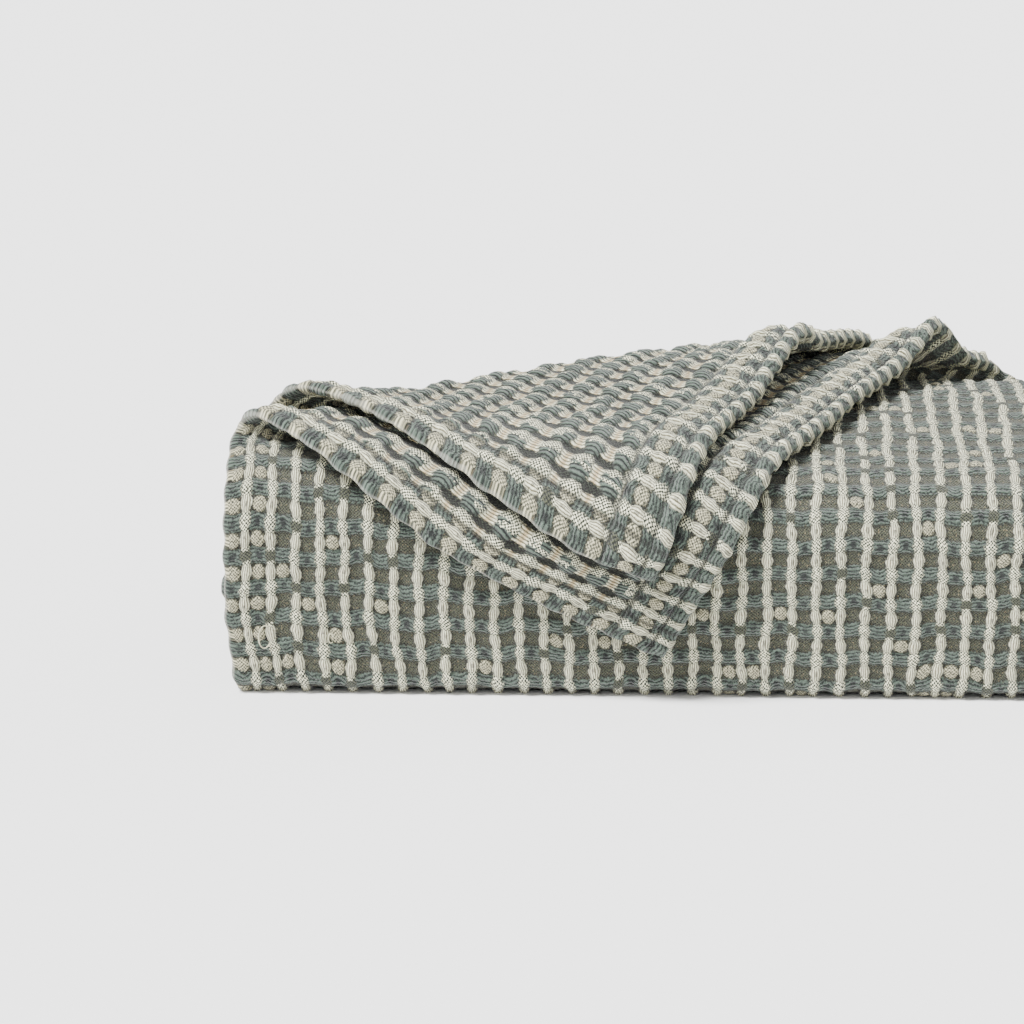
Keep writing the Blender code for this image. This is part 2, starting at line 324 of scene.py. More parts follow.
print("crown in the middle of the stack:", round(float(crown_share(0.1, 0.115)) * TOP_Z * 1000), "mm")

# %% [markdown]
# ## The waffle relief
# A waffle weave has two sides. On its face cream ribs run along the cloth, sea-green bars cross between
# them, and a square pocket sinks behind each window, some popped out as a pebble. On its back the
# pockets stand up as tufts, with loose cream floats slung between them. One cell of the weave is one
# rib wide and one bar high, so all of it is worked out from the place inside a cell.

# %% The cells of the weave
CELLS = 45  # across the cloth
CELL_W = CLOTH_W / CELLS
CELL_L = 0.0122  # from bar to bar
FIRST_RIB = 0.90  # cells from a side hem to the first rib
RIB_GAP = CLOTH_W / 44.8  # from rib to rib, so that the right hem matches the left one
EDGE_CELL = 0.30  # the very edge shows pebbles and bars, and no rib
BAR_RUN = 0.0564  # a bar crosses the front wall at this run
GRAIN_H = 0.0006  # how uneven the yarns lie
SHEET_T = 0.0016  # the yarns' own thickness, without the relief
RIB_H, BAR_H, PEBBLE_H = 0.0017, 0.0011, 0.0013  # heights on the face
TUFT_H, FLOAT_H, POCKET_H = 0.0020, 0.0008, -0.0004  # and on the back
RIB_FOOT = 0.0004  # ribs and bars start this far below the middle of the weave
POPPED_SHARE, CROSSED_SHARE = 0.20, 0.22  # of all pockets, and of all crossings
PEBBLED = 1.9  # cells from a side hem with a pebble in every pocket
HEM_CELLS = 1.38  # width of the side hems
HEM_ROWS = 1.75  # width of the end hem
ROPE_ROWS = 0.56  # of which this much is rolled into a rope
HEM_T = 0.0006  # a hem stands this much higher on each side
ROPE_H = 0.0013  # and the rope this much more
SCALLOP = 0.0008  # the weave draws a hem's edge in and out by this much
ROLL = 0.0022  # a hem's edge is rounded over this width
CHANCE_ACROSS, CHANCE_ALONG = 64, 400
CHANCE = np.random.default_rng(7).random((3, CHANCE_ACROSS, CHANCE_ALONG))


def weave_place(x, run):
    """Cell coordinates of a place: whole numbers of u are ribs and whole numbers of v are bars."""
    u = (x - LEFT_X) / RIB_GAP + 1 - FIRST_RIB
    v = (BAR_RUN - run) / CELL_L
    sway_u = 0.040 * np.sin(2.1 * v + 1.3 * u) + 0.028 * np.sin(3.7 * v - 2.2 * u + 1)
    sway_u = sway_u + 0.04 * np.sin(0.9 * v + u)
    sway_v = 0.06 * np.sin(1.9 * u + 0.4 * v) + 0.04 * np.sin(0.7 * u - 1.1 * v + 2)
    sway_v = sway_v + 0.03 * np.sin(4.1 * u)
    return np.clip(u + sway_u, EDGE_CELL, CELLS - EDGE_CELL), v + sway_v


def by_chance(which, u, v):
    across, along = np.floor(u).astype(int) % CHANCE_ACROSS, np.floor(v).astype(int) % CHANCE_ALONG
    return CHANCE[which, across, along]


def grain(which, u, v):
    """Soft noise from 0 to 1, one chance for each unit of u and v."""
    fu, fv = smooth(u - np.floor(u)), smooth(v - np.floor(v))
    near = by_chance(which, u, v) * (1 - fu) + by_chance(which, u + 1, v) * fu
    far = by_chance(which, u, v + 1) * (1 - fu) + by_chance(which, u + 1, v + 1) * fu
    return near * (1 - fv) + far * fv


def dome(a, b):
    return np.sqrt(np.clip(1 - a * a - b * b, 0, 1))


def face_relief(u, v, popped, crossed):
    fu, fv = np.abs(u - np.round(u)), np.abs(v - np.round(v))
    half = 0.195 + 0.035 * np.cos(4 * math.pi * fv)
    high = RIB_H * (0.86 + 0.14 * np.cos(4 * math.pi * fv)) * (1 - 0.45 * crossed * (fv < 0.2))
    rib = -RIB_FOOT + (high + RIB_FOOT) * dome(fu / half, 0)
    bar_high = BAR_H * (0.8 + 0.2 * np.cos(2 * math.pi * fu))
    bar = -RIB_FOOT + (bar_high + RIB_FOOT) * dome(fv / 0.25, 0)
    pebble = POCKET_H + popped * (PEBBLE_H - POCKET_H) * dome((fu - 0.5) / 0.30, (fv - 0.5) / 0.27)
    return np.maximum(np.maximum(rib, bar), pebble)


def back_relief(u, v):
    fu, fv = np.abs(np.abs(u - np.round(u)) - 0.5), np.abs(np.abs(v - np.round(v)) - 0.5)
    tuft = POCKET_H + (TUFT_H - POCKET_H) * dome(fu / 0.54, fv / 0.40)
    slung = -0.0002 + (FLOAT_H + 0.0002) * dome(fu / 0.34, 0) * (0.7 + 0.3 * np.cos(2 * math.pi * fv))
    bar = POCKET_H + 0.0005 * dome((fu - 0.5) / 0.22, 0) * np.cos(math.pi * fv)
    return np.maximum(np.maximum(tuft, slung), bar)


print(f"one cell is {CELL_W * 1000:.1f} x {CELL_L * 1000:.1f} mm")

# %% [markdown]
# ## The hems
# A hem is the cloth turned over and stitched down, so it stands a little higher, has a groove where
# the stitches pull, and is drawn in and out along its edge. The end hem is also rolled into a rope. It
# could be a separate strip, but it is the same cloth, so the cloth is raised along its edges, and less
# where an end hem lies pressed in the stack.

# %% The hems
SIDE_EASE, END_EASE = 0.15, 0.12  # cells and rows over which the hem's pattern ends
SIDE_SLOPE, END_SLOPE = 0.25, 0.20  # and over which its height does
SIDE_GROOVE, END_GROOVE, ROPE_GROOVE = 0.14, 0.13, 0.12
ROPE_GROOVE_DEEP = 1.6  # how much deeper the groove beside the rope is
GROOVE_DEPTH = 0.0005
FLAT_FROM, FLAT_EASE = 0.085, 0.030  # to the right of this an end hem is pressed flat in the stack
FLAT_SHARE = 0.75


def hem_amounts(x, run, end_run):
    """Cells to the nearest side hem, rows to the end hem, and how rounded the edge is there."""
    side = np.minimum(x - LEFT_X, RIGHT_X - x)
    end = np.full_like(x, 1.0) if end_run is None else np.abs(run - end_run)
    edge = np.clip(np.minimum(side, end) / ROLL, 0, 1)
    return side / CELL_W, end / CELL_L, np.sqrt(1 - (1 - edge) ** 2)


def hem_share(side, end):
    side_share = 1 - smooth((side - HEM_CELLS) / SIDE_EASE)
    return np.maximum(side_share, 1 - smooth((end - HEM_ROWS) / END_EASE))


def hem_height(u, side, end):
    """How much a hem adds to the cloth's height, and how near each place is to a stitched groove."""
    side_band = 1 - smooth((side - HEM_CELLS) / SIDE_SLOPE)
    end_band = 1 - smooth((end - HEM_ROWS) / END_SLOPE)
    groove = np.exp(-((side - HEM_CELLS) / SIDE_GROOVE) ** 2)
    groove = groove + np.exp(-((end - HEM_ROWS) / END_GROOVE) ** 2)
    groove = groove + ROPE_GROOVE_DEEP * np.exp(-((end - ROPE_ROWS) / ROPE_GROOVE) ** 2)
    rope = dome((end - ROPE_ROWS / 2) / (ROPE_ROWS / 2), 0) * (0.75 + 0.25 * np.cos(4 * math.pi * u))
    bulge = dome((end - 1.15) / 0.60, 0)
    height = HEM_T * (side_band + end_band) + ROPE_H * (rope + bulge) - GROOVE_DEPTH * groove
    return height, np.clip(groove, 0, 1)


def scalloped(x, run, u, v, side, end, end_run):
    """Places moved in and out along the hems, as the weave draws them."""
    by_row = SCALLOP * (grain(1, u * 2, v * 2) - 0.5 + 0.5 * np.cos(2 * math.pi * v))
    waved_x = x + np.sign(x) * by_row * (1 - smooth(side / 1.2))
    if end_run is None:
        return waved_x, run
    by_cell = SCALLOP * (grain(2, u * 2, v * 2) - 0.5 + 0.5 * np.cos(2 * math.pi * u))
    return waved_x, run + np.sign(run) * by_cell * (1 - smooth(end / 0.9))


print(f"side hems {HEM_CELLS * CELL_W * 1000:.0f} mm, end hem {HEM_ROWS * CELL_L * 1000:.0f} mm")

# %% [markdown]
# ## The two sides of the cloth
# A weave could be drawn on a smooth sheet, but these ribs stand nearly 2 mm high and show in the
# outline. So every place on the middle of the cloth gets two points, one raised along the normal by
# the face's relief and one by the back's, and none below the floor.

# %% The two sides of the cloth
NUDGE = 0.0005  # the step for finding a normal
SKIN = 0.0002  # keeps the two sides apart at an edge
Weave = namedtuple("Weave", "u v side end hem")


def normals(place, x, run):
    along = place(x, run + NUDGE) - place(x, run - NUDGE)
    across = place(x + NUDGE, run) - place(x - NUDGE, run)
    found = np.cross(along, across)
    return found / np.linalg.norm(found, axis=-1, keepdims=True)


def two_sides(x, run, place, end_run, turned):
    """The points of the face and then of the back, and the weave's values at each place."""
    u, v = weave_place(x, run)
    side, end, roundness = hem_amounts(x, run, end_run)
    hem = hem_share(side, end)
    popped = np.maximum(by_chance(0, u, v) < POPPED_SHARE, side < PEBBLED).astype(float)
    crossed = (by_chance(1, u + 0.5, v + 0.5) < CROSSED_SHARE).astype(float)
    extra, stitched = hem_height(u, side, end)
    flat_part = 0.0 if end_run is None else smooth((x - FLAT_FROM) / FLAT_EASE)
    extra = extra * (1 - FLAT_SHARE * flat_part)
    unrest = GRAIN_H * (grain(1, u * 4, v * 5) - 0.5) + 0.5 * GRAIN_H * (grain(2, u * 9, v * 11) - 0.5)
    swell = 0.75 + 0.5 * grain(0, u + 0.5, v + 0.5)
    face = face_relief(u, v, popped, crossed) * (0.5 + 0.5 * swell) + unrest
    hem_back = 1.15 * face_relief(u, v, np.ones_like(u), 0 * u)
    back = back_relief(u, v) * swell * (1 - hem) + hem_back * hem
    back = (back + unrest) * (1 - 0.85 * stitched)
    waved_x, waved_run = scalloped(x, run, u, v, side, end, end_run)
    middle, normal = place(waved_x, waved_run), normals(place, waved_x, waved_run)
    if turned:
        normal = -normal
    up = ((SHEET_T / 2 + face + 0.4 * np.maximum(extra, 0)) * roundness + SKIN)[..., None]
    down = ((SHEET_T / 2 + back + extra) * roundness + SKIN)[..., None]
    both_sides = ((middle + normal * up).reshape(-1, 3), (middle - normal * down).reshape(-1, 3))
    points = np.concatenate(both_sides)
    points[:, 2] = np.maximum(points[:, 2], 0.0)
    return points, Weave(u, v, side, end, hem)


print("the cloth is", SHEET_T * 1000, "mm thick without its relief")

# %% [markdown]
# ## The faces of a piece
# The two sides are the same grid twice, the second wound the other way so that both look outwards, and
# a rim of faces closes them. Cells hidden between plies are filled with a fan round one point, which
# keeps the piece light and still closed.

# %% The faces of a piece


def edge_ring(index):
    """The numbers round the edge of a grid, once each."""
    return np.concatenate((index[0, :-1], index[:-1, -1], index[-1, :0:-1], index[:0:-1, 0]))


def hidden_fans(index, seen, block):
    fans = []
    for i, j in zip(*np.nonzero(~seen)):
        cell = index[i * block:(i + 1) * block + 1, j * block:(j + 1) * block + 1]
        ring = edge_ring(cell)
        centre = np.full_like(ring, cell[cell.shape[0] // 2, cell.shape[1] // 2])
        fans.append(np.stack((centre, ring, np.roll(ring, -1)), axis=-1))
    return np.concatenate(fans)


def grid_faces(rows, cols, seen, block, turned):
    """The quads and fans of one side, and the rim between the two sides."""
    index = np.arange(rows * cols).reshape(rows, cols)
    quads = np.stack((index[:-1, :-1], index[:-1, 1:], index[1:, 1:], index[1:, :-1]), axis=-1)
    if seen is None:
        quads = quads.reshape(-1, 4)
        fans = np.zeros((0, 3), int)
    else:
        quads = quads[np.kron(seen, np.ones((block, block), bool))[: rows - 1, : cols - 1]]
        fans = hidden_fans(index, seen, block)
    ring = edge_ring(index)
    after, offset = np.roll(ring, -1), rows * cols
    rim = np.stack((after, ring, ring + offset, after + offset), axis=-1)
    if turned:
        return quads[:, ::-1], fans[:, ::-1], rim[:, ::-1]
    return quads, fans, rim


print("a 3 by 3 grid has", len(grid_faces(3, 3, None, 1, False)[2]), "rim faces")

# %% [markdown]
# ## What the colours need to know
# The pattern could be placed in space, but this cloth turns over itself, so its colours have to follow
# it. The cell coordinates become a UV map, the distances to the hems a point attribute, and what is
# true of a whole cell, such as a popped pebble, a face attribute.

# %% What the colours need to know


def store_weave(mesh, used, weave):
    """The weave's values as a UV map and attributes."""

    def both(value):
        return np.concatenate((value.ravel(), value.ravel()))[used]

    vertex = np.empty(len(mesh.loops), int)
    mesh.loops.foreach_get("vertex_index", vertex)
    u, v, side = both(weave.u)[vertex], both(weave.v)[vertex], both(weave.side)[vertex]
    uv = mesh.uv_layers.new(name="weave")
    uv.data.foreach_set("uv", np.stack((u, v), axis=-1).astype(np.float32).ravel())
    hems = mesh.attributes.new("hems", "FLOAT_VECTOR", "POINT")
    to_hems = np.stack((both(weave.side), both(weave.end), both(weave.hem)), axis=-1)
    hems.data.foreach_set("vector", to_hems.astype(np.float32).ravel())
    starts, totals = np.empty(len(mesh.polygons), int), np.empty(len(mesh.polygons), int)
    mesh.polygons.foreach_get("loop_start", starts)
    mesh.polygons.foreach_get("loop_total", totals)
    mid_u, mid_v, mid_side = (np.add.reduceat(value, starts) / totals for value in (u, v, side))
    chances = {
        "popped": np.maximum(by_chance(0, mid_u, mid_v) < POPPED_SHARE, mid_side < PEBBLED),
        "crossed": by_chance(1, mid_u + 0.5, mid_v + 0.5) < CROSSED_SHARE,
        "chance": by_chance(2, mid_u + 0.5, mid_v + 0.5),
        "bar_chance": by_chance(2, mid_u, mid_v + 0.5),
    }
    for key, value in chances.items():
        attribute = mesh.attributes.new(key, "FLOAT", "FACE")
        attribute.data.foreach_set("value", np.asarray(value, np.float32))


print("stored with each piece:", "weave, hems, popped, crossed, chance, bar_chance")

# %% [markdown]
# ## From a grid to a piece of cloth
# Each piece is a grid of places across and along the cloth. Modelled by hand it would take thousands
# of steps, so its points and faces are worked out whole and handed over.

# %% The piece maker
SHARP = math.radians(75)
FLAT_SIZES = {}


def cloth_piece(name, across, along, place, end_run=None, seen=None, block=1, turned=False):
    """A closed piece of cloth over a grid of places. seen says, for each block of quads, if it
    shows. A turned piece has its face where the run alone would put its back."""
    x, run = np.meshgrid(across, along, indexing="ij")
    points, weave = two_sides(x, run, place, end_run, turned)
    quads, fans, rim = grid_faces(*x.shape, seen, block, turned)
    offset = x.size
    faces = [*quads.tolist(), *fans.tolist(), *(quads[:, ::-1] + offset).tolist()]
    faces += [*(fans[:, ::-1] + offset).tolist(), *rim.tolist()]
    used = np.zeros(len(points), bool)
    for part in (quads, fans):
        used[part] = True
        used[part + offset] = True
    renumber = np.cumsum(used) - 1
    mesh = bpy.data.meshes.new(name)
    mesh.from_pydata(points[used].tolist(), [], [renumber[f].tolist() for f in faces])
    store_weave(mesh, used, weave)
    on_face = len(quads) + len(fans)
    backs = np.zeros(len(mesh.polygons), np.int32)
    backs[on_face:2 * on_face] = 1
    mesh.materials.append(bpy.data.materials["cotton_face"])
    mesh.materials.append(bpy.data.materials["cotton_back"])
    mesh.polygons.foreach_set("material_index", backs)
    mesh.shade_smooth()
    mesh.set_sharp_from_angle(angle=SHARP)
    mesh.validate()
    piece = bpy.data.objects.new(name, mesh)
    bpy.context.scene.collection.objects.link(piece)
    FLAT_SIZES[name] = (float(across[-1] - across[0]), float(abs(along[-1] - along[0])))
    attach(piece, "root")
    triangles = sum(len(f) - 2 for f in faces)
    width, length = FLAT_SIZES[name]
    print(f"{name}: {triangles} triangles, flat {width:.3f} x {length:.3f} m")
    return piece


# %% [markdown]
# ## The yarn colours
# The shading reads the same cell coordinates as the relief, so a stripe of colour can never slide off
# its rib. Writing out a pattern node by node is slow to read, so a small helper lets sockets be added
# and multiplied like numbers, and each sum becomes a Math node.

# %% Sockets that can be added


def set_inputs(node, values):
    for key, value in values.items():
        node.inputs[key].default_value = value


class Wire:
    """A socket that can be used in sums."""

    def __init__(self, tree, socket):
        self.tree, self.socket = tree, socket

    def math(self, operation, *others):
        node = self.tree.nodes.new("ShaderNodeMath")
        node.operation = operation
        for slot, value in zip(node.inputs, (self, *others)):
            if isinstance(value, Wire):
                self.tree.links.new(value.socket, slot)
            else:
                slot.default_value = value
        return Wire(self.tree, node.outputs[0])

    def __add__(self, other):
        return self.math("ADD", other)

    def __sub__(self, other):
        return self.math("SUBTRACT", other)

    def __mul__(self, other):
        return self.math("MULTIPLY", other)

    def __truediv__(self, other):
        return self.math("DIVIDE", other)

    __radd__, __rmul__ = __add__, __mul__

    def less_from(self, number):
        return (self * -1.0) + number

    def cos(self):
        return self.math("COSINE")

    def abs(self):
        return self.math("ABSOLUTE")

    def to_nearest(self):
        """The distance to the nearest whole number, from -0.5 to 0.5."""
        return self - self.math("ROUND")

    def max(self, other):
        return self.math("MAXIMUM", other)

    def ramp(self, start, end):
        """0 at start, 1 at end, and an easy curve between. start may be the larger."""
        node = self.tree.nodes.new("ShaderNodeMapRange")
        node.interpolation_type = "SMOOTHSTEP"
        set_inputs(node, {"From Min": min(start, end), "From Max": max(start, end)})
        if start > end:
            set_inputs(node, {"To Min": 1.0, "To Max": 0.0})
        self.tree.links.new(self.socket, node.inputs["Value"])
        return Wire(self.tree, node.outputs["Result"])

    def colours(self, first, second):
        """A colour between two, as this value goes from 0 to 1."""
        node = self.tree.nodes.new("ShaderNodeMix")
        node.data_type = "RGBA"
        self.tree.links.new(self.socket, node.inputs[0])
        for slot, value in ((node.inputs[6], first), (node.inputs[7], second)):
            if isinstance(value, Wire):
                self.tree.links.new(value.socket, slot)
            else:
                slot.default_value = (*value, 1)
        return Wire(self.tree, node.outputs[2])


print("sockets can now be added and multiplied")

# %% [markdown]
# ## A chart of the yarns
# The real cloth is woven from a few dyed yarns. Most are given a lit tone and a shaded copy of it,
# and the shaded copies are painted shade. The pockets' olive is partly the yarn and partly painted
# shade, and the near-black of the gaps on the back is painted shade alone. They are given as they look
# on a screen and made linear. The dark ones are darker than they seem in strong light.

# %% The yarn colours


def srgb(red, green, blue):
    """A colour as seen on screen, from 0 to 255, made linear for the shader."""
    return tuple(((c / 255 + 0.055) / 1.055) ** 2.4 for c in (red, green, blue))


CREAM = srgb(242, 241, 208)
CREAM_SHADE = srgb(98, 92, 68)
PEBBLE = srgb(190, 184, 152)
TAN = srgb(196, 174, 132)
SAGE = srgb(42, 48, 38)
SAGE_SHADE = srgb(26, 30, 23)
SEA = srgb(84, 98, 87)
SEA_SHADE = srgb(12, 18, 16)
OLIVE = srgb(72, 75, 56)
OLIVE_SHADE = srgb(14, 15, 9)
# painted shade: the near-black of the gaps between the tufts
HOLE_SHADE = srgb(10, 8, 5)
EDGE_TONE = srgb(214, 212, 198)
print("colours named:", "cream, tan, sage, sea-green, olive")

# %% [markdown]
# ## Small parts of a pattern
# Both sides of the cloth need soft noise, yarns that wander, and the fine pepper of light and dark
# yarns. Each side's pattern is a node group, so that a hem can show the face's on the back too.

# %% Noise, pepper and empty groups
TURN = 2 * math.pi
PEPPER_ACROSS, PEPPER_ALONG = 8, 9.5  # checks to a cell
WANDER_SCALE = 3.2
FUZZ_SCALE = 15.0


def noise(tree, place, scale, detail=2.0, output="Fac"):
    node = tree.nodes.new("ShaderNodeTexNoise")
    set_inputs(node, {"Scale": scale, "Detail": detail})
    tree.links.new(place.socket, node.inputs["Vector"])
    return Wire(tree, node.outputs[output])


def pattern_group(name, *values):
    """A node group that is given the place in the weave and some values, and their wires."""
    group = bpy.data.node_groups.new(name, "ShaderNodeTree")
    group.interface.new_socket("Weave", in_out="INPUT", socket_type="NodeSocketVector")
    for key in values:
        group.interface.new_socket(key, in_out="INPUT", socket_type="NodeSocketFloat")
    group.interface.new_socket("Color", in_out="OUTPUT", socket_type="NodeSocketColor")
    group.interface.new_socket("Height", in_out="OUTPUT", socket_type="NodeSocketFloat")
    start = group.nodes.new("NodeGroupInput")
    return group, {key: Wire(group, start.outputs[key]) for key in ("Weave", *values)}


def finish_group(group, colour, height):
    end = group.nodes.new("NodeGroupOutput")
    group.links.new(colour.socket, end.inputs["Color"])
    group.links.new(height.socket, end.inputs["Height"])


def warped(tree, place, amount):
    """The cell coordinates with the small wander of soft yarns."""
    u, v, _ = split(tree, place)
    wander_u, wander_v, _ = split(tree, noise(tree, place, WANDER_SCALE, 3.0, "Color"))
    return u + (wander_u - 0.5) * amount, v + (wander_v - 0.5) * amount


def tinted(tree, colour, blotch, fuzz):
    """A colour made lighter and darker by a broad and a fine unevenness of the dye."""
    tone = blotch * 0.30 + fuzz * 0.42 + 0.56
    tint = tree.nodes.new("ShaderNodeVectorMath")
    tint.operation = "SCALE"
    tree.links.new(colour.socket, tint.inputs[0])
    tree.links.new(tone.socket, tint.inputs["Scale"])
    return Wire(tree, tint.outputs[0])


def split(tree, vector):
    node = tree.nodes.new("ShaderNodeSeparateXYZ")
    tree.links.new(vector.socket, node.inputs[0])
    return [Wire(tree, socket) for socket in node.outputs]


def pepper(u, v, uneven_by):
    """The fine diagonal check of light and dark yarns, from 0 to 1."""
    check = (u * (TURN * PEPPER_ACROSS)).cos() * (v * (TURN * PEPPER_ALONG)).cos() + uneven_by
    return check.ramp(-0.35, 0.35)


print("pepper:", PEPPER_ACROSS, "by", PEPPER_ALONG, "to a cell")

# %% [markdown]
# ## The face of the weave
# Ribs are bundles of cream floats, with a fine pepper check where they cross a bar, painted shade on
# their flanks, and a dark eye of painted shade where their yarns part. The sea-green bars are four or
# five bowed yarns. A pocket is olive pepper, made darker by painted shade for its recess and more so
# towards its rim, and a pebble is pale. An image would repeat and blur, so all is drawn from the place
# inside a cell, and noise frays every edge.

# %% The face pattern
face_group, given = pattern_group("weave_face", "Popped", "Crossed", "Chance", "Bar", "Bow")
u, v = warped(face_group, given["Weave"], 0.10)
rough_edge = noise(face_group, given["Weave"], 9.0, 3.0) - 0.5
blotch = noise(face_group, given["Weave"], 0.6)
fuzz = noise(face_group, given["Weave"], FUZZ_SCALE, 4.0).ramp(0.25, 0.75)
fu, fv = u.to_nearest(), v.to_nearest()
au, av = fu.abs(), fv.abs()
half = (v * (2 * TURN)).cos() * 0.035 + 0.195
on_rib = (au - half + rough_edge * 0.26).ramp(0.03, -0.03)
check = pepper(u, v, (fuzz - 0.5) * 0.9 + rough_edge * 0.6)
across_rib = fu / half
float_yarns = (across_rib * (TURN * 2.5 / 1.05)).cos() * 0.5 + 0.5
# painted shade: where the float yarns part, an eye of the olive ground shows in its dark shaded tone
eye_round = (across_rib * 3.2) * (across_rib * 3.2) + ((av - 0.5) * 7.5) * ((av - 0.5) * 7.5)
eye_shade = eye_round.ramp(1.3, 0.2) * given["Chance"].ramp(0.62, 0.66) * 0.6
float_colour = float_yarns.ramp(0.0, 0.55).colours(CREAM_SHADE, CREAM)
float_colour = eye_shade.colours(float_colour, OLIVE_SHADE)
crossing = (av + rough_edge * 0.24).ramp(0.31, 0.24)
rib_colour = crossing.colours(float_colour, check.colours(SAGE, CREAM))
# painted shade: a rib's flanks are darkened towards sage where it slopes into the pockets
rib_flank_shade = across_rib.abs().ramp(0.45, 1.05)
rib_colour = (rib_flank_shade * 0.55).colours(rib_colour, SAGE)
over = given["Crossed"] * (av + rough_edge * 0.12).ramp(0.20, 0.12)
rib_colour = over.colours(rib_colour, check.colours(SAGE_SHADE, OLIVE))
bow = (given["Bow"] - 0.5) * 2.6
bar_yarns = ((fv * 8.5 + (u * TURN).cos() * bow * 0.5 + rough_edge * 1.3) * TURN).cos() * 0.5 + 0.5
middle = (au + rough_edge * 0.2).ramp(0.30, 0.46) * (av.ramp(0.20, 0.06))
shaded = middle * given["Bow"].ramp(0.1, 0.6) * -0.85 + 1.0
bar_light = (bar_yarns * 0.80 + fuzz * 0.55 - 0.10) * shaded
bar_colour = bar_light.ramp(0.0, 1.0).colours(SEA_SHADE, SEA)
on_bar = (av + rough_edge * 0.26).ramp(0.27, 0.20).max(given["Bar"])
round_u, round_v = (au - 0.5) / 0.27, (av - 0.5) / 0.24
pebble_round = round_u * round_u + round_v * round_v
pebble = given["Popped"] * (pebble_round + rough_edge * 0.5).ramp(1.15, 0.7)
# painted shade: a pocket darkens towards its rim, under the ribs and bars
pocket_rim_shade = (au.ramp(0.34, 0.22)).max(av.ramp(0.36, 0.26))
# a pocket's olive pepper is partly the yarn's own colour and partly painted shade, set dark for its
# recess
pocket_colour = (check * 0.7 + fuzz * 0.4).colours(OLIVE_SHADE, OLIVE)
fleck = noise(face_group, given["Weave"], 12.0).ramp(0.60, 0.68)
pocket_colour = (fleck * 0.28).colours(pocket_colour, TAN)
pocket_colour = (pocket_rim_shade * 0.6).colours(pocket_colour, OLIVE_SHADE)
pocket_colour = pebble.colours(pocket_colour, (check * 0.8 + fuzz * 0.3).colours(SAGE, PEBBLE))
face_colour = on_bar.colours(pocket_colour, bar_colour)
face_colour = on_rib.colours(face_colour, rib_colour)
rib_height = float_yarns * crossing.less_from(1.0) + check * crossing * 0.6
bar_height = bar_yarns * on_bar + check * on_bar.less_from(1.0) * 0.5
height = rib_height * on_rib + bar_height * on_rib.less_from(1.0) + fuzz * 0.35
finish_group(face_group, tinted(face_group, face_colour, blotch, fuzz), height)
print("face pattern:", len(face_group.nodes), "nodes")

# %% [markdown]
# ## The back of the weave
# Each pocket is a tuft here, one side a curl of sea-green yarns and the rest pale pepper, with painted
# shade towards its foot. Loose cream floats hang from tuft to tuft, turning tan as painted shade where
# they dip deepest, over gaps of sage pepper painted near black as shade. It is drawn like the face,
# from the middle of a pocket.

# %% The back pattern
back_group, given = pattern_group("weave_back", "Chance")
u, v = warped(back_group, given["Weave"], 0.09)
rough_edge = noise(back_group, given["Weave"], 8.0, 3.0) - 0.5
blotch = noise(back_group, given["Weave"], 0.6)
fuzz = noise(back_group, given["Weave"], FUZZ_SCALE, 4.0).ramp(0.25, 0.75)
su, sv = (u + 0.5).to_nearest(), (v + 0.5).to_nearest()
check = pepper(u, v, (fuzz - 0.5) * 0.9 + rough_edge * 0.6)
round_u, round_v = su / 0.54, sv / 0.40
tuft_round = (round_u * round_u + round_v * round_v).math("SQRT")
on_tuft = (tuft_round + rough_edge * 0.6).ramp(1.02, 0.80)
bend = sv * sv * 34.0 + (given["Chance"] - 0.5) * sv * 20.0
curl = (su * (TURN * 6.5) + bend + rough_edge * 2.5).cos() * 0.5 + 0.5
sea_side = (su + rough_edge * 0.45 + (given["Chance"] - 0.5) * 0.5).ramp(0.06, -0.04)
curl_colour = curl.ramp(0.0, 0.8).colours(SEA_SHADE, SEA)
tuft_colour = sea_side.colours(check.colours(SAGE, CREAM), curl_colour)
# painted shade: a tuft darkens towards its foot
tuft_colour = (tuft_round.ramp(0.55, 1.0) * 0.5).colours(tuft_colour, SAGE_SHADE)
slung_yarns = (su * (TURN * 8.0) + (v * TURN).cos() * 0.8).cos() * 0.5 + 0.5
on_float = (su.abs() + rough_edge * 0.20).ramp(0.36, 0.28)
# painted shade: the floats turn tan where they dip deepest between tufts
deep_shade = sv.abs().ramp(0.34, 0.5)
slung_colour = slung_yarns.ramp(0.05, 0.6).colours(CREAM_SHADE, deep_shade.colours(CREAM, TAN))
# the gaps between tufts: sage pepper, painted near black as shade
gap_colour = (check * 0.5 + fuzz * 0.4).ramp(0.3, 1.0).colours(HOLE_SHADE, SAGE)
back_colour = on_float.colours(gap_colour, slung_colour)
back_colour = on_tuft.colours(back_colour, tuft_colour)
tuft_height = curl * sea_side + check * sea_side.less_from(1.0) * 0.6
height = tuft_height * on_tuft + slung_yarns * on_float * on_tuft.less_from(1.0) + fuzz * 0.35
finish_group(back_group, tinted(back_group, back_colour, blotch, fuzz), height)
print("back pattern:", len(back_group.nodes), "nodes")

# %% [markdown]
# ## The two cotton materials
# Soft cotton has no shine but a faint halo of fibres, which is what sheen is for. A hem is the cloth
# folded over, so on the back it shows the face pattern, with a faint pale line along its edge and a
# dark line of painted shade in its stitched grooves. The yarns are under half a millimetre, so their
# height is a bump.

# %% The materials
BUMP_M = 0.0006


def attribute(tree, name, output):
    node = tree.nodes.new("ShaderNodeAttribute")
    node.attribute_name = name
    return Wire(tree, node.outputs[output])


def use_group(tree, group, values):
    node = tree.nodes.new("ShaderNodeGroup")
    node.node_tree = group
    for key, value in values.items():
        tree.links.new(value.socket, node.inputs[key])
    return Wire(tree, node.outputs["Color"]), Wire(tree, node.outputs["Height"])


